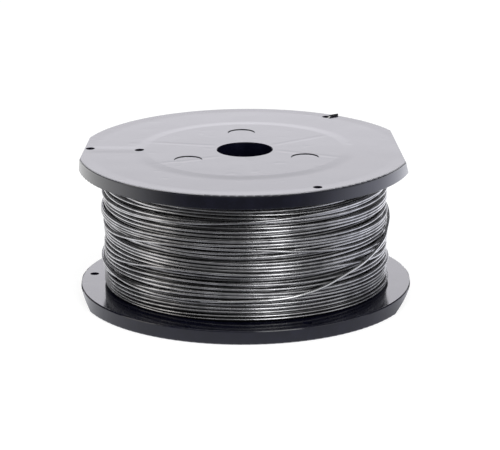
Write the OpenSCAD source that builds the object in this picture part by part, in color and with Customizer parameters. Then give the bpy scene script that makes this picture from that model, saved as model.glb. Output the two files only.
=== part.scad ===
// Small spool of welding wire: a one-piece moulded spool, 100 mm across the
// flanges and 45 mm wide, about two thirds full of wire. It stands on one face
// with its bore upright. Both flanges are flattened at the left and the right.
// The last turn crosses the others and is anchored in a hole of the upper flange.

/* [Flanges] */
// Diameter over the flanges
flange_d = 100; // [90:1:120]
// Thickness of each flange
flange_t = 4.3; // [3:0.1:6]
// Overall width, over the raised centre of both faces
spool_w = 45; // [38:1:60]
// Radius on both edges of each rim
rim_edge_r = 0.4; // [0.2:0.1:1]

/* [Flats] */
// Depth of the upper flange's left flat below the rim, at the face
upper_left_flat = 1.8; // [1:0.1:5]
// Depth of its left flat at the inner face
upper_left_root = 1.2; // [0.5:0.1:3]
// Depth of its right flat at the face
upper_right_flat = 3.8; // [1:0.1:5]
// Depth of its right flat at the inner face
upper_right_root = 2.6; // [0.5:0.1:3]
// Turn of both upper flats towards the back
upper_flat_turn = 4.4; // [0:0.2:8]
// Depth of the lower flange's left flat at the face
lower_left_flat = 3.9; // [1:0.1:7]
// Depth of its right flat at the face
lower_right_flat = 6.1; // [1:0.1:7]
// Depth of both lower flats at the inner face, where they run out
lower_flat_root = 0.3; // [0.2:0.1:1]

/* [Raised centre] */
// Diameter of the raised centre of each face
centre_d = 57; // [55:0.5:62]
// Height of the raised centre above the flange
centre_h = 0.12; // [0.1:0.01:0.4]
// Width of the soft slope round the raised centre
centre_slope = 5.5; // [2:0.5:7]

/* [Hub and barrel] */
// Diameter of the bore
bore_d = 16.5; // [14:0.5:20]
// Wall of the tube round the bore
hub_wall = 2.75; // [2:0.25:4]
// Chamfer at both ends of the bore
bore_chamfer = 0.2; // [0.1:0.1:0.8]
// Outer diameter of the barrel that the wire is wound on
barrel_d = 59; // [50:1:62]
// Wall of the barrel
barrel_wall = 2.5; // [1.5:0.25:4]
// Thickness of the closed face between the hub and the barrel
face_t = 2.5; // [1.5:0.25:4]
// Number of ribs between the hub and the barrel
rib_count = 6; // [3:1:8]
// Thickness of a rib
rib_t = 1.8; // [1:0.2:3]
// Distance that the ribs stop short of the open face
rib_inset = 1; // [0.5:0.5:4]
// Direction of the first rib
rib_angle = 36; // [0:1:59]

/* [Gate wells] */
// Number of round gate wells in the closed face
well_count = 3; // [1:1:4]
// Diameter of a gate well
well_d = 8.3; // [4:0.1:8.6]
// Depth of a gate well
well_depth = 0.2; // [0.1:0.1:0.8]
// Distance from the bore's axis to the middle of a gate well
well_reach = 20; // [17:0.2:21]
// Direction of the first gate well
well_angle = 93; // [90:1:100]

/* [Wire holes] */
// Number of anchor holes in each flange
rim_hole_count = 3; // [1:1:6]
// Diameter of an anchor hole
rim_hole_d = 2.7; // [2:0.1:4]
// Distance from the rim to the middle of an anchor hole
rim_hole_inset = 3.5; // [3:0.1:5]
// Direction of the anchor hole that holds the wire's end
rim_hole_angle = 56.6; // [50:0.2:65]
// How far the lower flange's anchor holes stay behind the upper ones
lower_hole_lag = 4; // [0:0.5:8]
// Diameter of the starting hole beside the barrel
start_hole_d = 2.8; // [2:0.2:3.4]
// Web between the barrel's surface and the starting hole
start_hole_web = 0.7; // [0.2:0.1:1]
// Direction of the starting hole
start_hole_angle = 179; // [170:1:190]

/* [Wire] */
// Diameter of the wire
wire_d = 0.9; // [0.6:0.1:1.2]
// Space between neighbouring turns of the outer layer
turn_space = 0.25; // [0.1:0.05:0.6]
// Diameter over the wound wire
coil_d = 85; // [72:1:86]
// Clearance between the barrel and the innermost wire
coil_clearance = 0.05; // [0.02:0.01:0.3]
// Clearance between the last turn and the turns that it crosses
crossing_clearance = 0.05; // [0.02:0.01:0.2]
// Length of the bent-over end on the upper face
stub_length = 3.6; // [2:0.1:5]
// Height that the tip of the bent-over end rises by
stub_rise = 0.1; // [0:0.1:1.5]
// Direction that the bent-over end points in
stub_angle = 20; // [0:5:60]

/* [Hidden] */

cut_over = 2;       // how far cutting shapes run past a surface
slope_steps = 8;
flange_r = flange_d / 2;
centre_r = centre_d / 2;
bore_r = bore_d / 2;
hub_r = bore_r + hub_wall;
barrel_r = barrel_d / 2;
pocket_r = barrel_r - barrel_wall;
lower_face_z = centre_h;
lower_inner_z = lower_face_z + flange_t;
upper_face_z = spool_w - centre_h;
upper_inner_z = upper_face_z - flange_t;
rim_hole_reach = flange_r - rim_hole_inset;
start_hole_reach = barrel_r + start_hole_web + start_hole_d / 2;

wire_r = wire_d / 2;
coil_r = coil_d / 2;
coil_w = upper_inner_z - lower_inner_z;
turns = floor(coil_w / (wire_d + turn_space));
turn_pitch = coil_w / turns;

spool_colour = [0.10, 0.10, 0.12];
wire_colour = [0.62, 0.62, 0.64];

// ---------------------------------------------------------------- spool

// Half section of one flange lying on y = 0, with a rounded rim.
module flange_section() {
    square([flange_r - rim_edge_r, flange_t]);
    translate([0, rim_edge_r]) square([flange_r, flange_t - 2 * rim_edge_r]);
    for (y = [rim_edge_r, flange_t - rim_edge_r])
        translate([flange_r - rim_edge_r, y]) circle(r = rim_edge_r, $fn = 32);
}

// Half section of a raised centre, its face on y = 0. A half cosine wave of
// slope_steps straight pieces leads from its face to the flange's.
module centre_section() {
    wave = [for (i = [0 : slope_steps]) [
        centre_r + centre_slope * i / slope_steps,
        centre_h * (1 - cos(180 * i / slope_steps)) / 2
    ]];
    polygon(concat(
        [[0, 0]],
        wave,
        [[centre_r + centre_slope, centre_h + flange_t / 2], [0, centre_h + flange_t / 2]]
    ));
}

// Half section of the space inside the spool: the bore with its chamfers.
module bore_section() {
    translate([0, -cut_over]) square([bore_r, spool_w + 2 * cut_over]);
    polygon([[0, -cut_over], [bore_r + bore_chamfer, -cut_over], [bore_r + bore_chamfer, 0],
             [bore_r, bore_chamfer], [0, bore_chamfer]]);
    polygon([[0, spool_w - bore_chamfer], [bore_r, spool_w - bore_chamfer],
             [bore_r + bore_chamfer, spool_w], [bore_r + bore_chamfer, spool_w + cut_over],
             [0, spool_w + cut_over]]);
}

// Half section of the hollow between the hub and the barrel, open downwards.
module hollow_section() {
    translate([hub_r, -cut_over])
        square([pocket_r - hub_r, spool_w - face_t + cut_over]);
}

module turned_body() {
    rotate_extrude($fn = 180) difference() {
        union() {
            square([barrel_r, spool_w]);
            translate([0, lower_face_z]) flange_section();
            translate([0, upper_inner_z]) flange_section();
            centre_section();
            translate([0, spool_w]) mirror([0, 1]) centre_section();
        }
        bore_section();
        hollow_section();
    }
}

// Ribs from the hub to the barrel, let into both walls.
module ribs() {
    let_in = min(hub_wall, barrel_wall) / 2;
    for (i = [0 : rib_count - 1])
        rotate([0, 0, rib_angle + i * 360 / rib_count])
            translate([hub_r - let_in, -rib_t / 2, rib_inset])
                cube([pocket_r - hub_r + 2 * let_in, rib_t, spool_w - face_t / 2 - rib_inset]);
}

// What a flat removes from the lower flange on the +X side: it lies face_depth
// below the rim at the flange's face and root_depth below it at the inner face.
module flat_cut(face_depth, root_depth) {
    lean = (face_depth - root_depth) / flange_t;
    x_at = function (z) flange_r - face_depth + lean * (z - lower_face_z);
    z_low = lower_face_z - cut_over;
    z_high = lower_inner_z + cut_over;
    rotate([90, 0, 0])
        linear_extrude(height = flange_d, center = true)
            polygon([
                [x_at(z_low), z_low],
                [flange_r + 2 * cut_over, z_low],
                [flange_r + 2 * cut_over, z_high],
                [x_at(z_high), z_high]
            ]);
}

module all_flat_cuts() {
    flat_cut(lower_right_flat, lower_flat_root);
    mirror([1, 0, 0]) flat_cut(lower_left_flat, lower_flat_root);
    translate([0, 0, spool_w]) mirror([0, 0, 1]) {
        rotate([0, 0, upper_flat_turn]) flat_cut(upper_right_flat, upper_right_root);
        mirror([1, 0, 0]) rotate([0, 0, upper_flat_turn]) flat_cut(upper_left_flat, upper_left_root);
    }
}

// The anchor holes through the flange whose lower side is at z.
module rim_holes(first_angle, z) {
    for (i = [0 : rim_hole_count - 1])
        rotate([0, 0, first_angle + i * 360 / rim_hole_count])
            translate([rim_hole_reach, 0, z - cut_over])
                cylinder(d = rim_hole_d, h = flange_t + 2 * cut_over, $fn = 48);
}

module start_hole() {
    rotate([0, 0, start_hole_angle])
        translate([start_hole_reach, 0, upper_inner_z - cut_over])
            cylinder(d = start_hole_d, h = flange_t + centre_h + 2 * cut_over, $fn = 48);
}

module gate_wells() {
    for (i = [0 : well_count - 1])
        rotate([0, 0, well_angle + i * 360 / well_count])
            translate([well_reach, 0, spool_w - well_depth])
                cylinder(d = well_d, h = well_depth + cut_over, $fn = 64);
}

module spool() {
    color(spool_colour) difference() {
        union() {
            turned_body();
            ribs();
        }
        all_flat_cuts();
        rim_holes(rim_hole_angle, upper_inner_z);
        rim_holes(rim_hole_angle - lower_hole_lag, lower_face_z);
        start_hole();
        gate_wells();
    }
}

// ----------------------------------------------------------------- wire

// Half section of the wound wire: a core with the turns of the outer layer.
module coil_section() {
    inner_r = barrel_r + coil_clearance;
    core_r = coil_r - wire_r;
    translate([inner_r, lower_inner_z]) square([core_r - inner_r, coil_w]);
    for (i = [0 : turns - 1])
        translate([core_r, lower_inner_z + (i + 0.5) * turn_pitch]) circle(r = wire_r, $fn = 24);
}

// The last turn where it lies on the coil: direction in degrees, height of its
// middle above the coil's surface, and share of the way up between the flanges.
on_top = wire_r + crossing_clearance;
CROSSING = [
    [-97, -0.95, 0.165], [-90, -0.45, 0.170], [-83, 0.10, 0.178], [-75, on_top, 0.193],
    [-65, on_top, 0.218], [-55, on_top, 0.255], [-45, on_top, 0.300], [-35, on_top, 0.343],
    [-25, on_top, 0.380], [-15, on_top + 0.1, 0.412], [-5, on_top + 0.3, 0.458],
    [5, on_top + 0.6, 0.530], [15, on_top + 0.3, 0.615], [25, on_top + 0.05, 0.703],
    [36, on_top, 0.795]
];

function on_coil(p) = [
    (coil_r + p[1]) * cos(p[0]),
    (coil_r + p[1]) * sin(p[0]),
    lower_inner_z + p[2] * coil_w
];

// The rest of the last turn: straight to its anchor hole, up through it and
// bent over onto the upper face.
hole_middle = [rim_hole_reach * cos(rim_hole_angle), rim_hole_reach * sin(rim_hole_angle), 0];
leave_point = on_coil(CROSSING[len(CROSSING) - 1]);
approach = let (d = [leave_point[0] - hole_middle[0], leave_point[1] - hole_middle[1], 0]) d / norm(d);
stub_way = [cos(stub_angle), sin(stub_angle), 0];
bend_angle = -25;       // side of the anchor hole that the wire bends over
bend_clearance = 0.2;   // left between the wire and the hole's wall there
hole_side = hole_middle + [cos(bend_angle), sin(bend_angle), 0] * (rim_hole_d / 2 - wire_r - bend_clearance);
face_lie = upper_face_z + wire_r + crossing_clearance;
ANCHORING = [
    hole_middle + approach * 9.0 + [0, 0, upper_inner_z - 4.6],
    hole_middle + approach * 3.2 + [0, 0, upper_inner_z - 2.1],
    hole_middle + approach * 0.7 + [0, 0, upper_inner_z - 0.9],
    hole_middle + [0, 0, upper_inner_z + 0.5],
    (hole_middle + hole_side) / 2 + [0, 0, upper_inner_z + flange_t / 2],
    hole_side + [0, 0, upper_face_z - 0.5],
    hole_side + stub_way * 0.45 + [0, 0, face_lie - 0.05],
    hole_side + stub_way * 1.2 + [0, 0, face_lie + 0.1],
    hole_side + stub_way * (0.5 + stub_length / 2) + [0, 0, face_lie + 0.4 * stub_rise],
    hole_side + stub_way * (0.5 + stub_length) + [0, 0, face_lie + stub_rise]
];
KNOTS = concat([for (p = CROSSING) on_coil(p)], ANCHORING);

// Catmull-Rom curve through the knots, with the given steps in each span.
span_steps = 3;
function knot(i) = KNOTS[max(0, min(len(KNOTS) - 1, i))];
function between(a, b, c, d, t) =
    b + t * (c - a) / 2 + t * t * (a - 2.5 * b + 2 * c - d / 2) + t * t * t * (3 * (b - c) + d - a) / 2;
ROUTE = concat(
    [for (i = [0 : len(KNOTS) - 2], s = [0 : span_steps - 1])
        between(knot(i - 1), knot(i), knot(i + 1), knot(i + 2), s / span_steps)],
    [knot(len(KNOTS) - 1)]
);

function unit(v) = v / norm(v);
function heading(i) = unit(ROUTE[min(i + 1, len(ROUTE) - 1)] - ROUTE[max(i - 1, 0)]);
function square_to(v, t) = unit(v - (v * t) * t);

// A side direction for each ring, carried along the route without twisting.
SIDES = [for (i = 0, v = square_to([0, 0, 1], heading(0)); i < len(ROUTE);
              i = i + 1, v = i < len(ROUTE) ? square_to(v, heading(i)) : v) v];

// Round bar of radius r swept along the route, closed at both ends.
module swept_bar(r, sides) {
    rings = len(ROUTE);
    points = [for (i = [0 : rings - 1], k = [0 : sides - 1])
        let (u = SIDES[i], w = cross(heading(i), u), a = k * 360 / sides)
            ROUTE[i] + r * (cos(a) * u + sin(a) * w)];
    at = function (i, k) i * sides + k % sides;
    walls = [for (i = [0 : rings - 2], k = [0 : sides - 1])
        each [[at(i, k), at(i + 1, k), at(i + 1, k + 1)], [at(i, k), at(i + 1, k + 1), at(i, k + 1)]]];
    polyhedron(points, concat(
        walls,
        [[for (k = [0 : sides - 1]) at(0, k)]],
        [[for (k = [sides - 1 : -1 : 0]) at(rings - 1, k)]]
    ));
}

module welding_wire() {
    color(wire_colour) union() {
        rotate_extrude($fn = 180) coil_section();
        swept_bar(wire_r, 8);
    }
}

spool();
welding_wire();
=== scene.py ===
"""Spool of welding wire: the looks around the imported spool.

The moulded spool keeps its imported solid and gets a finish. The wound wire is
laid turn by turn as one long strand in layers, each turn resting on what lies
below it, and ends in the turn that crosses the others to its anchor hole.
Lengths are in metres where no other unit is named, and +Z runs up along the bore.
"""

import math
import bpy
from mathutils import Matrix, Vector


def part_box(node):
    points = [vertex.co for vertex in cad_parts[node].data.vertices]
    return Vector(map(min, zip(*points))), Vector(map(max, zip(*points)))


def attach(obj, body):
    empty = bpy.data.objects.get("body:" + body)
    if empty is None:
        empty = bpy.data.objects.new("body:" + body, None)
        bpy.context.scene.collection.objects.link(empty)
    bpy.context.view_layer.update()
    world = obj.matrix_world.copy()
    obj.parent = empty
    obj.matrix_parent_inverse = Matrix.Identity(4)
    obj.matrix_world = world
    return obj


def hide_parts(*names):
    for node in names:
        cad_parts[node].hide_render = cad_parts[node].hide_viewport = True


bl_info = {
    "name": "Welding Wire Spool",
    "version": (1, 0, 0),
    "blender": (4, 5, 0),
    "location": "3D View > Sidebar > Wire Spool",
    "description": "Winds and dresses a small spool of welding wire on a plain stage",
    "category": "Object",
}

import bpy
import numpy as np
from bpy.props import FloatProperty, FloatVectorProperty, IntProperty, PointerProperty
from mathutils import Matrix, Vector

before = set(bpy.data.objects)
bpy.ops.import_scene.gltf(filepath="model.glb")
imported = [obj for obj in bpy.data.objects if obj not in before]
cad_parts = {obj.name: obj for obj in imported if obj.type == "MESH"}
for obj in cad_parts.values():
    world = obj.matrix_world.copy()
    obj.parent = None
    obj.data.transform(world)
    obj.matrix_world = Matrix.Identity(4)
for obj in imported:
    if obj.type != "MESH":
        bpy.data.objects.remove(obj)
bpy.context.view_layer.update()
BODY = "root"

MM = 0.001
SPOOL_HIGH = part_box("spool")[1]
WIRE_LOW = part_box("welding_wire")[0]
FLANGE_R = SPOOL_HIGH.y
SPOOL_W = SPOOL_HIGH.z
GAP_LOW = WIRE_LOW.z
GAP_HIGH = SPOOL_W - GAP_LOW
GAP_W = GAP_HIGH - GAP_LOW
COIL_R = -WIRE_LOW.x
BARREL_R = 29.55 * MM  # inside of the coil
FACE_DROP = 0.12 * MM  # from the raised centre of a flange down to its face


# ------------------------------------------------------------ properties


class WireProperties(bpy.types.PropertyGroup):
    """Sizes and colours of the wound wire."""

    diameter: FloatProperty(
        name="Wire diameter",
        description="Diameter of the wire",
        default=0.9 * MM,
        unit="LENGTH",
    )
    turns: IntProperty(
        name="Turns in a layer",
        description="Number of turns side by side between the flanges",
        default=31,
        min=10,
    )
    wander: FloatProperty(
        name="Wander",
        description="How far bunches of turns stray up and down from an even winding",
        default=0.55 * MM,
        unit="LENGTH",
    )
    bunching: FloatProperty(
        name="Bunching",
        description="How far neighbouring turns draw together and apart",
        default=0.30 * MM,
        unit="LENGTH",
    )
    jitter: FloatProperty(
        name="Jitter",
        description="How far a single turn strays from its bunch",
        default=0.16 * MM,
        unit="LENGTH",
    )
    steel: FloatVectorProperty(
        name="Steel",
        description="Colour of the drawn wire",
        subtype="COLOR",
        default=(0.44, 0.44, 0.45),
    )
    tarnish: FloatVectorProperty(
        name="Tarnish",
        description="Colour of the duller stretches of wire",
        subtype="COLOR",
        default=(0.20, 0.20, 0.205),
    )
    roughness: FloatProperty(
        name="Roughness",
        description="Mean roughness of the wire's surface",
        default=0.27,
        min=0.0,
        max=1.0,
        subtype="FACTOR",
    )


class PlasticProperties(bpy.types.PropertyGroup):
    """Finish of the moulded spool."""

    colour: FloatVectorProperty(
        name="Plastic",
        description="Colour of the moulded plastic",
        subtype="COLOR",
        default=(0.0030, 0.0032, 0.0088),
    )
    roughness: FloatProperty(
        name="Roughness",
        description="Mean roughness of the moulded surface",
        default=0.13,
        min=0.0,
        max=1.0,
        subtype="FACTOR",
    )
    sink_depth: FloatProperty(
        name="Sink depth",
        description="Depth of the sink marks opposite the ribs",
        default=0.02 * MM,
        unit="LENGTH",
    )


class StageProperties(bpy.types.PropertyGroup):
    """Place of the camera, and colour of the stage."""

    distance: FloatProperty(
        name="Camera distance",
        description="Distance from the camera to the middle of the spool",
        default=0.90,
        unit="LENGTH",
    )
    elevation: FloatProperty(
        name="Camera elevation",
        description="Angle of the view above the floor",
        default=math.radians(16.5),
        subtype="ANGLE",
    )
    backdrop: FloatVectorProperty(
        name="Backdrop",
        description="Colour of the floor and the backdrop",
        subtype="COLOR",
        default=(1.0, 1.0, 1.0),
    )


# ---------------------------------------------------------------- meshes


def new_object(mesh, material):
    """Links a finished mesh as a piece of the object, under the mesh's own name."""
    piece = bpy.data.objects.new(mesh.name, mesh)
    bpy.context.scene.collection.objects.link(piece)
    mesh.materials.append(material)
    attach(piece, BODY)
    return piece


def grid_mesh(name, points, uv, caps=False, looped=False):
    """Mesh of a grid of points (rows, columns, 3) whose columns close on themselves.

    Each cell between two rows and two neighbouring columns is one quad. With
    caps, the first and last rows are closed by one flat face each. Looped, the
    last row joins the first. uv holds the distance along the rows and the share
    of the way around the columns, each with one more value where it closes.
    """
    rows, columns = points.shape[:2]
    cells = rows if looped else rows - 1
    i, k = np.meshgrid(np.arange(cells), np.arange(columns), indexing="ij")
    above = (i + 1) % rows
    after = (k + 1) % columns
    quads = np.stack(
        [i * columns + k, i * columns + after, above * columns + after, above * columns + k],
        axis=-1,
    ).reshape(-1, 4)
    faces = quads.tolist()
    if caps:
        faces.append(list(range(columns))[::-1])
        faces.append([(rows - 1) * columns + k for k in range(columns)])
    mesh = bpy.data.meshes.new(name)
    mesh.from_pydata(points.reshape(-1, 3).tolist(), [], faces)
    mesh.polygons.foreach_set("use_smooth", np.ones(len(faces), bool))
    along, around = uv
    u = np.stack([along[i], along[i], along[i + 1], along[i + 1]], axis=-1)
    v = np.stack([around[k], around[k + 1], around[k + 1], around[k]], axis=-1)
    corners = np.zeros((len(mesh.loops), 2))
    corners[: quads.size] = np.stack([u, v], axis=-1).reshape(-1, 2)
    mesh.uv_layers.new(name="UVMap").data.foreach_set("uv", corners.ravel())
    mesh.update()
    return mesh


def unit_rows(vectors):
    """Each row divided by its length."""
    return vectors / np.linalg.norm(vectors, axis=1, keepdims=True)


def running_length(steps):
    """Distance covered before the first step and after each one."""
    return np.concatenate([[0], np.cumsum(steps)])


def wire_mesh(name, path, radius, sides):
    """Round bar swept along a path. The radius is one number or one for each point.

    At each point of the path the circle lies square to the path's direction t.
    Its first axis is the direction away from the bore, made square to t, and
    its second is t crossed with the first.
    """
    heading = unit_rows(np.gradient(path, axis=0))
    away = path * np.array([1.0, 1.0, 0.0])
    away = unit_rows(away - (away * heading).sum(1, keepdims=True) * heading)
    across = np.cross(heading, away)
    angle = np.linspace(0, 2 * math.pi, sides, endpoint=False)
    ring = (
        np.cos(angle)[None, :, None] * away[:, None, :]
        + np.sin(angle)[None, :, None] * across[:, None, :]
    )
    points = path[:, None, :] + np.reshape(radius, (-1, 1, 1)) * ring
    along = running_length(np.linalg.norm(np.diff(path, axis=0), axis=1))
    return grid_mesh(name, points, (along, np.linspace(0, 1, sides + 1)), caps=True)


CORE_ROWS = 8  # rows of points across each bead of the core
CORE_COLUMNS = 96  # points around the core


def core_mesh(name, core_r, d, turns):
    """Surface of the turns further in, as a ring that closes on itself.

    Its outside has one bead for each turn, of height d/2 times the square root
    of |sin|, and its inside is the plain cylinder of the barrel.
    """
    places = np.linspace(0, turns, turns * CORE_ROWS + 1)
    bead = d / 2 * np.abs(np.sin(math.pi * places)) ** 0.5
    r = np.concatenate([[BARREL_R], core_r + bead, [BARREL_R]])
    z = np.concatenate([[GAP_LOW], GAP_LOW + places / turns * GAP_W, [GAP_HIGH]])
    angle = np.linspace(0, 2 * math.pi, CORE_COLUMNS, endpoint=False)
    x, y = r[:, None] * np.cos(angle), r[:, None] * np.sin(angle)
    points = np.stack([x, y, np.repeat(z[:, None], CORE_COLUMNS, axis=1)], axis=-1)
    along = running_length(np.hypot(np.diff(r, append=r[0]), np.diff(z, append=z[0])))
    return grid_mesh(name, points, (along, np.linspace(0, 1, CORE_COLUMNS + 1)), looped=True)


# ----------------------------------------------------------- the winding

SEED = 11
STEPS = 240  # samples in one turn
STIFFNESS = 6  # samples to either side over which a strand's radius is evened out
EVENNESS = 5  # samples to either side over which its height is evened out
WANDER_SPAN = (12 * MM, 30 * MM)  # height over which bunches stray up and down once
BUNCH_SPAN = (3.2 * MM, 8 * MM)  # height over which turns draw together and apart once
INNER_DEPTH = 0.85  # from the outer layer in to the inner one, in wire diameters
CORE_DEPTH = 0.6  # from the inner layer in to the foot of the core's beads


def drift_field(rng, angle, height, swing, span, rounds, waves=7):
    """Smooth up-and-down drift shared by neighbouring turns.

    A sum of waves, each running a whole number of times round the coil, up to
    rounds, and once in every span[0] to span[1] of its height.
    """
    total = np.zeros_like(angle)
    for _ in range(waves):
        round_count = rng.integers(1, rounds + 1)
        pitch = rng.uniform(*span)
        phase = rng.uniform(0, 2 * math.pi)
        share = rng.uniform(0.5, 1.0) / math.sqrt(round_count)
        total += share * np.sin(round_count * angle + 2 * math.pi * height / pitch + phase)
    return swing * total / math.sqrt(waves / 2)


def jitter_line(rng, angle, swing, waves=14):
    """Drift of a single strand along its own length, at 0.3 to 3 waves in a turn."""
    total = np.zeros_like(angle)
    for _ in range(waves):
        rate = rng.uniform(0.3, 3.0)
        total += np.sin(rate * angle + rng.uniform(0, 2 * math.pi)) / (0.5 + rate)
    return swing * total / math.sqrt(waves / 2)


def resting_radius(z, below_z, below_r, diameter, floor_r):
    """Radius at which a turn rests on the turns under it.

    Over each lower turn its middle stands sqrt(d^2 - dz^2) further out where
    the two are less than a diameter d apart in height dz, and the largest of
    these counts.
    """
    if not len(below_z):
        return np.full_like(z, floor_r)
    gap = np.abs(below_z - z)
    lift = np.sqrt(np.clip(diameter**2 - gap**2, 0, None))
    reach = np.where(gap < diameter, below_r + lift, floor_r)
    return np.maximum(reach.max(axis=0), floor_r)


def stiffened(line, width, envelope=True):
    """A line along the strand, evened out twice over a moving window.

    With envelope, the largest value in the window is taken first: wire is too
    stiff to dip into short gaps.
    """
    for step in range(3 if envelope else 2):
        pad = np.pad(line, width, mode="edge")
        windows = np.lib.stride_tricks.sliding_window_view(pad, 2 * width + 1)
        line = windows.max(axis=1) if envelope and step == 0 else windows.mean(axis=1)
    return line


def lay(z, below, diameter, floor_r):
    """Winds one strand of many turns over the turns below it, and over itself.

    z holds the strand's height at every step, and below the heights and radii
    of the turns that lie there already. Returns the heights and the radii of
    the strand, one row for each turn.
    """
    z_turns = z.reshape(-1, STEPS)
    r_turns = np.zeros_like(z_turns)
    below_z, below_r = below
    for turn in range(len(z_turns)):
        under_z = np.concatenate([below_z, z_turns[:turn]])
        under_r = np.concatenate([below_r, r_turns[:turn]])
        r_turns[turn] = resting_radius(z_turns[turn], under_z, under_r, diameter, floor_r)
    return z_turns, stiffened(r_turns.ravel(), STIFFNESS).reshape(-1, STEPS)


def spread(z, room, low, high, rounds=40):
    """Pushes neighbouring turns apart until each keeps its room from the next.

    z holds one row per turn. Each pair that is too close moves apart by half of
    what is missing, first the even pairs and then the odd ones, many times over.
    """
    order = 1.0 if z[-1].mean() > z[0].mean() else -1.0
    for _ in range(rounds):
        for first in (0, 1):
            lower = z[first:-1:2]
            upper = z[first + 1 :: 2]
            push = np.clip(room - order * (upper - lower), 0, None) / 2 * order
            lower -= push
            upper += push
        np.clip(z, low, high, out=z)
    return z


def smooth_step(value, low, high):
    """0 below low, 1 above high, and 3 t^2 - 2 t^3 between."""
    t = np.clip((value - low) / (high - low), 0, 1)
    return t * t * (3 - 2 * t)


# Turns that stray over their neighbours and come back: turn, degrees where it
# starts to rise, where it is up, where it starts to fall and where it is back,
# and its rise in mm. The degrees run on from the layer's start at 0. Turn 0 of
# the outer layer lies at the upper flange, and that of the inner at the lower.
OUTER_STRAYS = (
    (5, 215, 335, 420, 500, 3.6),
    (2, 110, 175, 190, 235, 2.6),
    (14, 192, 250, 268, 325, 3.6),
    (20, 195, 250, 300, 345, 2.6),
    (25, 120, 180, 188, 248, 3.0),
    (9, 20, 70, 110, 160, 2.2),
    (17, 40, 95, 120, 165, 2.8),
)
INNER_STRAYS = (
    (4, 170, 260, 300, 380, 2.4),
    (11, 200, 250, 290, 350, 2.0),
    (18, 150, 230, 280, 340, 2.6),
    (24, 190, 240, 300, 360, 2.2),
)


def slides(angle, strays):
    """Height added along a layer where its turns stray over their neighbours."""
    total = np.zeros_like(angle)
    degrees = np.degrees(angle)
    for turn, rise_from, rise_to, fall_from, fall_to, rise in strays:
        here = degrees - 360 * turn
        up = smooth_step(here, rise_from, rise_to)
        back = smooth_step(here, fall_from, fall_to)
        total += rise * MM * (up - back)
    return total


def layer_heights(rng, wire, strays, upwards):
    """Height along a layer of turns, wound once from flange to flange."""
    edge = wire.diameter / 2
    low, high = GAP_LOW + edge, GAP_HIGH - edge
    angle = np.arange(wire.turns * STEPS) * 2 * math.pi / STEPS
    share = angle / angle[-1]
    if not upwards:
        share = 1 - share
    z = low + share * (high - low)
    z = (
        z
        + drift_field(rng, angle, z, wire.wander, WANDER_SPAN, rounds=3)
        + drift_field(rng, angle, z, wire.bunching, BUNCH_SPAN, rounds=5, waves=11)
        + jitter_line(rng, angle, wire.jitter)
    )
    z = spread(z.reshape(-1, STEPS), wire.diameter, low, high).ravel()
    z = stiffened(z, EVENNESS, envelope=False)
    return np.clip(z + slides(angle, strays), low, high)


def spiral_path(z_turns, r_turns):
    """Points of a strand from its height and radius at every step.

    Step n lies at the angle n/STEPS of a whole turn, counted from +X to +Y.
    """
    z, r = z_turns.ravel(), r_turns.ravel()
    angle = np.arange(len(z)) * 2 * math.pi / STEPS
    return np.stack([r * np.cos(angle), r * np.sin(angle), z], axis=1)


# --------------------------------------------------------- the last turn

# Where it lies on the coil: direction in degrees, and share of the way from the
# lower flange to the upper one.
CROSSING = (
    (-108, 0.165), (-98, 0.176), (-88, 0.187), (-80, 0.195), (-72, 0.206), (-64, 0.231),
    (-56, 0.263), (-48, 0.305), (-40, 0.352), (-32, 0.400), (-24, 0.443), (-17, 0.480),
    (-10, 0.517), (-3, 0.550), (4, 0.577), (11, 0.604), (19, 0.656), (28, 0.724), (36, 0.790),
)
CROSSING_POINTS = 220
ANCHOR_POINTS = 90
EMERGING = (-106, -84)  # degrees over which it comes up out of the layer
BURIED = 1.1  # depth before that, in wire diameters
BULGE = 0.10 * MM  # how far it stands off the coil on the right-hand side
BULGE_AT, BULGE_SPREAD = 4, 13  # degrees

HOLE_ANGLE = math.radians(56.6)
HOLE_REACH = FLANGE_R - 3.5 * MM
HOLE_R = 1.35 * MM
HOLE_CLEARANCE = 0.2 * MM
BEND_ANGLE = math.radians(-25)  # side of the hole over which it is bent
STUB_ANGLE = math.radians(32)  # way in which the bent-over end points
NIP = 0.25  # share of its thickness that the bent-over end has lost
NIPPED_ABOVE = (SPOOL_W - 0.10 * MM, SPOOL_W + 0.20 * MM)  # heights over which it is lost
PRESSED = 0.05 * MM  # how far the end is pressed into the face
# Way up to the hole: distance short of it and depth under the flange, in mm.
APPROACH = ((9.0, 4.5), (3.2, 2.0), (0.7, 0.9))
# Bent-over end: distance along it and depth under the height at which it lies, in mm.
STUB = ((0.45, 0.15), (1.2, 0.0), (1.95, 0.0), (3.4, 0.0))


def smooth_through(knots, places):
    """Catmull-Rom curve through rows of knots, read at places counted in knots."""
    last = len(knots) - 1
    start = np.clip(np.floor(places).astype(int), 0, last - 1)
    t = (places - start)[:, None]
    a, b, c, d = (knots[np.clip(start + shift, 0, last)] for shift in (-1, 0, 1, 2))
    return (
        b
        + t * (c - a) / 2
        + t**2 * (a - 2.5 * b + 2 * c - d / 2)
        + t**3 * (3 * (b - c) + d - a) / 2
    )


def level_way(angle):
    """Level direction at an angle from +X."""
    return np.array([math.cos(angle), math.sin(angle), 0.0])


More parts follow.
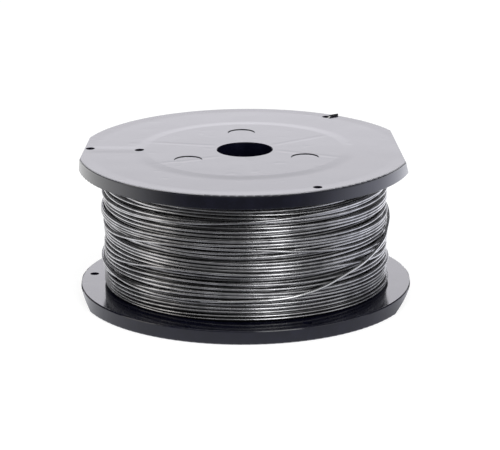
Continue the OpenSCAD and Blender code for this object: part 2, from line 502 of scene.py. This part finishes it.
def anchoring_points(leave, wire_r):
    """Points that take the strand from the coil up through its hole and over onto the face."""
    up = np.array([0.0, 0.0, 1.0])
    hole = HOLE_REACH * level_way(HOLE_ANGLE)
    hole_side = hole + (HOLE_R - wire_r - HOLE_CLEARANCE) * level_way(BEND_ANGLE)
    back = (leave - hole) * [1, 1, 0]
    back = back / np.linalg.norm(back)
    out = level_way(STUB_ANGLE)
    face = SPOOL_W - FACE_DROP
    lie = face + (1 - NIP) * wire_r - PRESSED
    return [
        *(hole + back * short * MM + up * (GAP_HIGH - deep * MM) for short, deep in APPROACH),
        hole + up * (GAP_HIGH + 0.5 * MM),
        (hole + hole_side) / 2 + up * (GAP_HIGH + face) / 2,
        hole_side + up * (face - 0.5 * MM),
        *(hole_side + out * far * MM + up * (lie - deep * MM) for far, deep in STUB),
    ]


def last_turn_path(below, d):
    """The strand that comes out of the winding, crosses it and ends in its anchor hole.

    On the coil it rests on the turns below by the same rule as they do, sunk by
    BURIED until it emerges, and stands off by a bell curve of height BULGE.
    """
    knots = np.array(CROSSING, float)
    line = smooth_through(knots, np.linspace(0, len(knots) - 1, CROSSING_POINTS))
    degrees = line[:, 0]
    z = GAP_LOW + line[:, 1] * GAP_W
    below_z, below_r = below
    column = np.round(degrees / 360 * STEPS).astype(int) % STEPS
    r = resting_radius(z, below_z[:, column], below_r[:, column], d, 0.0)
    r = stiffened(r, STIFFNESS)
    r -= (1 - smooth_step(degrees, *EMERGING)) * BURIED * d
    r += BULGE * np.exp(-(((degrees - BULGE_AT) / BULGE_SPREAD) ** 2))
    angle = np.radians(degrees)
    on_coil = np.stack([r * np.cos(angle), r * np.sin(angle), z], axis=1)
    before = on_coil[-8]  # gives the curve its direction where it leaves the coil
    ends = np.array([before, on_coil[-1], *anchoring_points(on_coil[-1], d / 2)])
    rest = smooth_through(ends, np.linspace(1, len(ends) - 1, ANCHOR_POINTS))
    return np.concatenate([on_coil[:-1], rest])


# ------------------------------------------------------------ node trees


def colour4(colour):
    """RGBA of an RGB colour."""
    return (*colour, 1.0)


class NodeTree:
    """Short way to write the node tree of a material or a world."""

    def __init__(self, owner):
        owner.use_nodes = True
        self.owner = owner
        self.nodes = owner.node_tree.nodes
        self.links = owner.node_tree.links

    def feed(self, socket, value):
        """Links an output socket to an input socket, or sets a plain value on it."""
        if isinstance(value, bpy.types.NodeSocket):
            self.links.new(value, socket)
        else:
            socket.default_value = value

    def new(self, kind, inputs):
        """Adds a node and feeds its inputs, which are given by name or number."""
        made = self.nodes.new(kind)
        for name, value in inputs.items():
            self.feed(made.inputs[name], value)
        return made

    def surface(self, inputs):
        """Feeds inputs of the material's own shader, and returns its output."""
        shader = self.nodes["Principled BSDF"]
        for name, value in inputs.items():
            self.feed(shader.inputs[name], value)
        return shader.outputs[0]

    def coords(self, output="Object"):
        """Output of Texture Coordinate."""
        return self.nodes.new("ShaderNodeTexCoord").outputs[output]

    def split(self, vector):
        """The three components of a vector."""
        return self.new("ShaderNodeSeparateXYZ", {0: vector}).outputs

    def calc(self, operation, *values):
        """Math node on one to three values."""
        made = self.new("ShaderNodeMath", dict(enumerate(values)))
        made.operation = operation
        return made.outputs[0]

    def plus(self, first, second):
        """Sum of two values."""
        return self.calc("ADD", first, second)

    def minus(self, first, second):
        """The first value less the second."""
        return self.calc("SUBTRACT", first, second)

    def times(self, first, second):
        """Product of two values."""
        return self.calc("MULTIPLY", first, second)

    def ramp(self, value, low, high, out_low=0.0, out_high=1.0):
        """Smooth step of a value from one range to another."""
        inputs = {
            "Value": value,
            "From Min": low,
            "From Max": high,
            "To Min": out_low,
            "To Max": out_high,
        }
        made = self.new("ShaderNodeMapRange", inputs)
        made.interpolation_type = "SMOOTHSTEP"
        return made.outputs[0]

    def noise(self, vector, scale, detail=2.0, roughness=0.5):
        """Noise texture's value."""
        inputs = {"Vector": vector, "Scale": scale, "Detail": detail, "Roughness": roughness}
        return self.new("ShaderNodeTexNoise", inputs).outputs["Fac"]

    def stretch(self, vector, scale):
        """Vector scaled on each axis."""
        return self.new("ShaderNodeMapping", {"Vector": vector, "Scale": scale}).outputs[0]

    def mix(self, factor, first, second):
        """Colour between two colours."""
        made = self.nodes.new("ShaderNodeMix")
        made.data_type = "RGBA"
        for name, value in (("Factor", factor), ("A", first), ("B", second)):
            self.feed(made.inputs[name], value)
        return next(socket for socket in made.outputs if socket.type == "RGBA")

    def glow(self, kind, colour, strength):
        """Shader that gives out light of its own."""
        return self.new(kind, {"Color": colour4(colour), "Strength": strength}).outputs[0]

    def added(self, first, second):
        """Sum of two shaders."""
        return self.new("ShaderNodeAddShader", {0: first, 1: second}).outputs[0]

    def picked(self, factor, first, second):
        """The first of two shaders where the factor is 0, the second where it is 1."""
        return self.new("ShaderNodeMixShader", {0: factor, 1: first, 2: second}).outputs[0]


# --------------------------------------------------------------- finishes

BRIGHT = 0.62  # each colour of steel that is clean all over and lightened by a painted highlight
DULL = (0.38, 0.66)  # noise over which the dull stretches come up
DULL_ROUGHNESS = 0.14  # by which they are rougher
# Painted shade: the undersides of the lowest turns, in the corner by the lower flange, are
# darkened, which also dims their reflection in the flange.
UNDERSIDE_SHADE_COLOUR = (0.03, 0.03, 0.03)
UNDERSIDE_SHADE_TOP = (GAP_LOW + 1.5 * MM, GAP_LOW + 4.0 * MM)  # heights over which it ends
UNDERSIDE = (0.02, 0.32, 0.9, 0.0)  # upward tilt over which it thins from 0.9 to 0
# Painted shade: the end that lies on the upper face is painted nearly black.
END_SHADE_COLOUR = (0.06, 0.06, 0.062)
END_SHADE_ABOVE = (SPOOL_W - 0.10 * MM, SPOOL_W + 0.25 * MM)
# Painted highlight: the rounded outer edges of the flanges are painted paler, where they catch
# the light.
EDGE_HIGHLIGHT = (0.42, 0.42, 0.45)
EDGE_HIGHLIGHT_RIM = (FLANGE_R - 0.45 * MM, FLANGE_R - 0.20 * MM)  # distance from the axis
FACE = SPOOL_W / 2 - FACE_DROP  # height of a flange's face over the spool's middle
EDGE_HIGHLIGHT_FACE = (FACE - 0.22 * MM, FACE - 0.05 * MM)


def drawn_steel(name, wire, cleanness_and_highlight=0.0, painted_shade=1.0):
    """Bare drawn steel wire with duller stretches along each strand.

    Cleanness and highlight from 0 to 1 takes the dull stretches away and lightens
    the steel as a painted highlight. Painted shade darkens it all, the end that
    lies on the flange is painted dark as shade, and the undersides of the lowest
    turns are painted dark as shade beside the lower flange.
    """
    f = NodeTree(bpy.data.materials.new(name))
    place = f.coords()
    strand = f.stretch(f.coords("UV"), (40, 0, 0))
    patches = f.noise(place, scale=170, detail=3, roughness=0.6)
    stretches = f.noise(strand, scale=1, detail=4, roughness=0.65)
    mean = f.times(f.plus(patches, stretches), 0.5)
    # cleanness takes the dull stretches away; the lightening of the steel below is a painted
    # highlight
    dullness = f.ramp(mean, *DULL, 0.0, 1.0 - cleanness_and_highlight)
    # painted shade darkens both the clean and the tarnished colour
    clean = [painted_shade * (c + (BRIGHT - c) * cleanness_and_highlight) for c in wire.steel]
    tarnish = [painted_shade * c for c in wire.tarnish]
    metal = f.mix(dullness, colour4(clean), colour4(tarnish))

    z = f.split(place)[2]
    facing_up = f.split(f.new("ShaderNodeNewGeometry", {}).outputs["Normal"])[2]
    # painted shade on the undersides of the lowest turns, next to the lower flange
    painted_underside_shade = f.times(f.ramp(z, *UNDERSIDE_SHADE_TOP, 1.0, 0.0), f.ramp(facing_up, *UNDERSIDE))
    with_underside_shade = f.mix(painted_underside_shade, metal, colour4(UNDERSIDE_SHADE_COLOUR))
    # painted shade on the end that lies on the upper face
    colour = f.mix(f.ramp(z, *END_SHADE_ABOVE), with_underside_shade, colour4(END_SHADE_COLOUR))
    rough = f.calc("MULTIPLY_ADD", dullness, DULL_ROUGHNESS, wire.roughness - 0.05)
    f.surface({"Base Color": colour, "Metallic": 1.0, "Roughness": rough})
    return f.owner


# Lines on the upper face: direction in degrees, and in mm the shift from the
# axis, the half width, and the distances over which the line comes and goes.
SINK_LINES = tuple(
    (degrees, shift, 1.8, (8, 12), (25, 33))
    for degrees, shift in ((34, 0.7), (96, 0.0), (167, 2.4), (202, -4.5), (276, 0.0), (336, -2.5))
)
RIDGE_LINE = (178, 0.0, 4.6, (29, 34), (43, 50))
UPPER_FACE = (SPOOL_W - 0.8 * MM, SPOOL_W - 0.5 * MM)  # heights between which it begins
LIP = (45.0 * MM, 50.5 * MM)  # distances from the axis over which it rises
DENTED = (0.64, 0.80)  # noise over which the dents go down
HAZY = (0.35, 0.75)  # noise over which the plastic pales
HAZE_ROUGHNESS = 0.06
# Relief in mm.
LIP_HEIGHT = 0.075
RIDGE_HEIGHT = 0.05
WAVE_HEIGHT = 0.07
DENT_HEIGHT = -0.012


def face_line(f, x, y, line):
    """1 along a straight line on the upper face, falling to 0 at its half width beside it."""
    degrees, shift, half_width, comes, goes = line
    a = math.radians(degrees)
    ahead = f.plus(f.times(x, math.cos(a)), f.times(y, math.sin(a)))
    side = f.minus(f.times(x, math.sin(a)), f.times(y, math.cos(a)))
    beside = f.calc("ABSOLUTE", f.minus(side, shift * MM))
    ends = f.times(
        f.ramp(ahead, comes[0] * MM, comes[1] * MM),
        f.ramp(ahead, goes[0] * MM, goes[1] * MM, 1.0, 0.0),
    )
    return f.times(f.ramp(beside, 0.0, half_width * MM, 1.0, 0.0), ends)


def painted_edge_highlight(f, reach, z):
    """1 on the rounded outer edges of the two flanges' outer faces, where a highlight is painted,
    0 elsewhere.
    """
    from_middle = f.calc("ABSOLUTE", f.minus(z, SPOOL_W / 2))
    return f.times(f.ramp(reach, *EDGE_HIGHLIGHT_RIM), f.ramp(from_middle, *EDGE_HIGHLIGHT_FACE))


def moulded_plastic(plastic):
    """Black moulded plastic.

    The upper face carries shallow sink marks opposite the ribs, a faint ridge
    from the starting hole to the rim, a slightly raised lip along the rim, and
    the soft waves and small dents of moulding. The flanges' outer edges carry
    a painted highlight: their colour is paler.
    """
    f = NodeTree(bpy.data.materials.new("moulded_plastic"))
    place = f.coords()
    x, y, z = f.split(place)
    reach = f.calc("SQRT", f.plus(f.times(x, x), f.times(y, y)))

    sunk = 0.0
    for line in SINK_LINES:
        sunk = f.plus(sunk, face_line(f, x, y, line))
    sink = f.times(sunk, plastic.sink_depth / MM)
    ridge = f.times(face_line(f, x, y, RIDGE_LINE), RIDGE_HEIGHT)
    lip = f.ramp(reach, *LIP, 0.0, LIP_HEIGHT)
    relief = f.times(f.minus(f.plus(lip, ridge), sink), f.ramp(z, *UPPER_FACE))
    waves = f.times(f.noise(place, scale=55, detail=1), WAVE_HEIGHT)
    dents = f.times(f.ramp(f.noise(place, scale=210, detail=1), *DENTED), DENT_HEIGHT)
    height = f.plus(relief, f.plus(waves, dents))
    bump = f.new("ShaderNodeBump", {"Strength": 1.0, "Distance": MM, "Height": height})

    haze = f.noise(place, scale=260, detail=4, roughness=0.6)
    scuffed = colour4([c * 1.6 + 0.001 for c in plastic.colour])
    scuffs = f.mix(f.ramp(haze, *HAZY), colour4(plastic.colour), scuffed)
    f.surface(
        {
            # painted highlight on the rims' outer edges
            "Base Color": f.mix(painted_edge_highlight(f, reach, z), scuffs, colour4(EDGE_HIGHLIGHT)),
            "Roughness": f.calc("MULTIPLY_ADD", haze, HAZE_ROUGHNESS, plastic.roughness - 0.03),
            "IOR": 1.5,
            "Normal": bump.outputs[0],
        }
    )
    return f.owner


# ------------------------------------------------------------------ stage

WHITE = (1.0, 1.0, 1.0)
MIDDLE = Vector((0, 0, SPOOL_W / 2))

FLOOR_R = 4.0
FLOOR_SIDES = 96
# Each ramp below holds two places, and the values before and after them.
FLOOR_GLOW = 0.80  # to the camera, which also sees the part that shadows darken
FLOOR_SHADOWED = (0.34, 0.34, 0.34)
FLOOR_FRONT = (0.15, 0.15, 0.155)
FLOOR_BACK = (0.8, 0.8, 0.8)
FRONT_TO_BACK = (-0.22, 0.02, 0.0, 1.0)
COOL_WHITE = (1.0, 1.02, 1.18)
MIRRORED_BEHIND = (-0.10, 0.07, 0.18, 1.08)
MIRRORED_SLANT = 0.35  # turns that ramp towards the left
MIRRORED_LEFT = (-0.16, -0.06, 1.0, 0.0)
MIRRORED_RIGHT = (0.04, 0.16, 0.0, 1.7)
MIRRORED_FOOT = (0.055, 0.10, 0.41, 0.0)
BESIDE_COMES = (-0.20, -0.02, 0.0, 1.0)
BESIDE_GOES = (0.03, 0.15, 1.0, 0.5)

WORLD_AMBIENT = 0.35
WORLD_MIRRORED = (0.985, 0.98, 1.03)
WORLD_FRONT_TO_BACK = (0.3, 1.0, 0.22, 0.62)
WORLD_FADE = 0.045  # share that is left straight overhead

# Softboxes: azimuth and elevation in degrees, distance, width, height, radiance
# and colour. Azimuth 0 is in front of the spool and counts towards +X.
SOFTBOXES = {
    "back_softbox": (180, 18, 1.3, 0.46, 0.55, 1.94, (1.0, 0.985, 1.05)),
    "front_softbox": (-4, 52, 1.2, 1.7, 0.5, 1.05, WHITE),
    "right_strip": (23, 18, 1.2, 0.58, 0.9, 4.3, WHITE),
    "left_window": (-76, 20, 1.2, 0.62, 1.0, 1.75, (1.0, 0.96, 0.90)),
    "right_fill": (67, 22, 1.2, 0.98, 0.7, 0.95, WHITE),
    "right_window": (98, 25, 1.2, 0.3, 0.9, 0.3, WHITE),
    "top_softbox": (0, 88, 1.4, 1.2, 1.2, 0.8, WHITE),
}

LENS = 214.7  # millimetres, on a sensor 36 mm wide
SHIFT = (0.0094, -0.0072)
ROLL = math.radians(-0.42)


def mirrored_floor(f, place, backdrop):
    """The floor as reflections show it.

    It is as white as the backdrop behind the spool and to its left, and dim in
    front. A cooler light shows on the right and close round the spool's foot.
    """
    x, y, _ = f.split(place)
    behind = f.ramp(f.minus(y, f.times(x, MIRRORED_SLANT)), *MIRRORED_BEHIND)
    beside = f.times(f.ramp(y, *BESIDE_COMES), f.ramp(y, *BESIDE_GOES))
    left = f.times(f.ramp(x, *MIRRORED_LEFT), beside)
    right = f.times(f.ramp(x, *MIRRORED_RIGHT), beside)
    away = f.new("ShaderNodeVectorMath", {0: place})
    away.operation = "LENGTH"
    foot = f.ramp(away.outputs["Value"], *MIRRORED_FOOT)
    return f.added(
        f.glow("ShaderNodeEmission", backdrop, f.plus(behind, left)),
        f.glow("ShaderNodeEmission", COOL_WHITE, f.plus(right, foot)),
    )


def build_floor(stage):
    """Round floor, which answers each kind of ray in its own way.

    To the camera it is white, with the spool's soft shadow. To matt surfaces it
    is pale behind the spool and falls to grey in front of it. To reflections it
    is the mirrored floor.
    """
    f = NodeTree(bpy.data.materials.new("floor_white"))
    place = f.coords()
    paleness = f.ramp(f.split(place)[1], *FRONT_TO_BACK)
    matt = f.surface(
        {
            "Base Color": f.mix(paleness, colour4(FLOOR_FRONT), colour4(FLOOR_BACK)),
            "Roughness": 0.9,
            "Specular IOR Level": 0.0,
        }
    )
    shaded = f.new("ShaderNodeBsdfDiffuse", {"Color": colour4(FLOOR_SHADOWED)}).outputs[0]
    seen = f.added(f.glow("ShaderNodeEmission", stage.backdrop, FLOOR_GLOW), shaded)
    rays = f.new("ShaderNodeLightPath", {}).outputs
    unseen = f.picked(rays["Is Glossy Ray"], matt, mirrored_floor(f, place, stage.backdrop))
    output = f.nodes["Material Output"]
    f.feed(output.inputs["Surface"], f.picked(rays["Is Camera Ray"], unseen, seen))

    angle = np.linspace(0, 2 * math.pi, FLOOR_SIDES, endpoint=False)
    points = FLOOR_R * np.stack([np.cos(angle), np.sin(angle), np.zeros(FLOOR_SIDES)], axis=-1)
    mesh = bpy.data.meshes.new("floor")
    mesh.from_pydata(points.tolist(), [], [list(range(FLOOR_SIDES))])
    mesh.materials.append(f.owner)
    floor = bpy.data.objects.new("floor", mesh)
    bpy.context.scene.collection.objects.link(floor)


def build_world(stage):
    """White to the camera, grey to matt surfaces.

    In reflections it is brightest low down behind the spool. It fades towards
    the front, and upwards as the exponential of the height of the direction.
    """
    world = bpy.data.worlds.new("studio")
    bpy.context.scene.world = world
    f = NodeTree(world)
    f.nodes.clear()
    _, y, z = f.split(f.coords("Generated"))
    strength = f.times(f.ramp(y, *WORLD_FRONT_TO_BACK), f.calc("POWER", WORLD_FADE, z))
    rays = f.new("ShaderNodeLightPath", {}).outputs
    unseen = f.picked(
        rays["Is Glossy Ray"],
        f.glow("ShaderNodeBackground", WHITE, WORLD_AMBIENT),
        f.glow("ShaderNodeBackground", WORLD_MIRRORED, strength),
    )
    seen = f.glow("ShaderNodeBackground", stage.backdrop, 1.0)
    straight = f.calc("MAXIMUM", rays["Is Camera Ray"], rays["Is Transmission Ray"])
    f.new("ShaderNodeOutputWorld", {"Surface": f.picked(straight, unseen, seen)})


def facing_spool(azimuth, elevation, distance):
    """Place and turn of a lamp or camera that looks at the middle of the spool."""
    way = Vector(
        (
            math.sin(azimuth) * math.cos(elevation),
            -math.cos(azimuth) * math.cos(elevation),
            math.sin(elevation),
        )
    )
    turn = way.to_track_quat("Z", "Y").to_matrix().to_4x4()
    return Matrix.Translation(MIDDLE + way * distance) @ turn


def build_lamps():
    """Softboxes all round: the radiance L of a lamp of area A takes the power pi A L."""
    for name, values in SOFTBOXES.items():
        azimuth, elevation, distance, width, height, radiance, colour = values
        data = bpy.data.lights.new(name, "AREA")
        data.shape = "RECTANGLE"
        data.size = width
        data.size_y = height
        data.energy = math.pi * width * height * radiance
        data.color = colour
        lamp = bpy.data.objects.new(name, data)
        around, up = math.radians(azimuth), math.radians(elevation)
        lamp.matrix_world = facing_spool(around, up, distance)
        lamp.visible_camera = False
        bpy.context.scene.collection.objects.link(lamp)


def build_camera(stage):
    """Long lens from the front, a little above the upper face."""
    data = bpy.data.cameras.new("camera")
    data.lens = LENS
    data.shift_x, data.shift_y = SHIFT
    data.clip_start = 0.05
    data.clip_end = 20.0
    camera = bpy.data.objects.new("camera", data)
    place = facing_spool(0.0, stage.elevation, stage.distance)
    camera.matrix_world = place @ Matrix.Rotation(ROLL, 4, "Z")
    bpy.context.scene.collection.objects.link(camera)
    bpy.context.scene.camera = camera


# -------------------------------------------------------------- operators


class SPOOL_OT_finish_plastic(bpy.types.Operator):
    """Gives the moulded spool its black plastic"""

    bl_idname = "spool.finish_plastic"
    bl_label = "Finish the Moulded Spool"

    def execute(self, context):
        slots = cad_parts["spool"].material_slots
        if not slots:
            raise RuntimeError("The moulded spool has no material slot")
        material = moulded_plastic(context.scene.spool_plastic)
        for slot in slots:
            slot.material = material
        return {"FINISHED"}


class SPOOL_OT_wind_wire(bpy.types.Operator):
    """Winds the wire in layers, with its last turn anchored in the flange"""

    bl_idname = "spool.wind_wire"
    bl_label = "Wind the Wire"

    def execute(self, context):
        wire = context.scene.spool_wire
        d = wire.diameter
        if wire.turns * d > GAP_W:
            raise ValueError("The turns of a layer don't fit between the flanges")
        rng = np.random.default_rng(SEED)
        empty = (np.zeros((0, STEPS)), np.zeros((0, STEPS)))
        inner_r = COIL_R - d / 2 - INNER_DEPTH * d
        rising = layer_heights(rng, wire, INNER_STRAYS, upwards=True)
        inner = lay(rising, empty, d, inner_r)
        falling = layer_heights(rng, wire, OUTER_STRAYS, upwards=False)
        outer = lay(falling, inner, d, inner_r)
        below = [np.concatenate(pair) for pair in zip(inner, outer)]
        last_turn = last_turn_path(below, d)
        nipped = NIP * smooth_step(last_turn[:, 2], *NIPPED_ABOVE)

        steel = drawn_steel("drawn_steel", wire)
        # Darker copy of the steel for the inner layer and the core: painted shade in the gaps
        # between the outer turns.
        shaded_inner_steel = drawn_steel("inner_drawn_steel_painted_shade", wire, painted_shade=0.5)
        # Lighter, cleaner copy of the steel for the last turn: clean wire, and a painted
        # highlight along it.
        clean_and_highlighted_steel = drawn_steel("clean_drawn_steel_painted_highlight", wire, cleanness_and_highlight=0.8)
        for mesh, material in (
            (core_mesh("wire_core", inner_r - CORE_DEPTH * d, d, wire.turns), shaded_inner_steel),
            (wire_mesh("wire_inner_layer", spiral_path(*inner), d / 2, sides=8), shaded_inner_steel),
            (wire_mesh("wire_outer_layer", spiral_path(*outer), d / 2, sides=10), steel),
            (wire_mesh("wire_last_turn", last_turn, d / 2 * (1 - nipped), sides=12), clean_and_highlighted_steel),
        ):
            piece = new_object(mesh, material)
            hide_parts("welding_wire")
        return {"FINISHED"}


class SPOOL_OT_build_stage(bpy.types.Operator):
    """Sets out the floor, the backdrop, the lamps and the camera"""

    bl_idname = "spool.build_stage"
    bl_label = "Build the Stage"

    def execute(self, context):
        stage = context.scene.spool_stage
        build_floor(stage)
        build_world(stage)
        build_lamps()
        build_camera(stage)
        context.scene.view_settings.view_transform = "Standard"
        return {"FINISHED"}


class SPOOL_PT_panel(bpy.types.Panel):
    """Sizes, colours and steps of the spool of welding wire"""

    bl_label = "Wire Spool"
    bl_idname = "SPOOL_PT_panel"
    bl_space_type = "VIEW_3D"
    bl_region_type = "UI"
    bl_category = "Wire Spool"

    def draw(self, context):
        scene = context.scene
        for title, group, operator in (
            ("Moulded spool", scene.spool_plastic, SPOOL_OT_finish_plastic),
            ("Wire", scene.spool_wire, SPOOL_OT_wind_wire),
            ("Stage", scene.spool_stage, SPOOL_OT_build_stage),
        ):
            box = self.layout.box()
            box.label(text=title)
            for name in group.__annotations__:
                box.prop(group, name)
            box.operator(operator.bl_idname)


# --------------------------------------------------------------- assembly

CLASSES = (
    WireProperties,
    PlasticProperties,
    StageProperties,
    SPOOL_OT_finish_plastic,
    SPOOL_OT_wind_wire,
    SPOOL_OT_build_stage,
    SPOOL_PT_panel,
)


def register():
    for cls in CLASSES:
        bpy.utils.register_class(cls)
    bpy.types.Scene.spool_wire = PointerProperty(type=WireProperties)
    bpy.types.Scene.spool_plastic = PointerProperty(type=PlasticProperties)
    bpy.types.Scene.spool_stage = PointerProperty(type=StageProperties)


def unregister():
    del bpy.types.Scene.spool_wire
    del bpy.types.Scene.spool_plastic
    del bpy.types.Scene.spool_stage
    for cls in reversed(CLASSES):
        bpy.utils.unregister_class(cls)


def main():
    register()
    bpy.ops.spool.build_stage()
    bpy.ops.spool.finish_plastic()
    bpy.ops.spool.wind_wire()


if __name__ == "__main__":
    main()
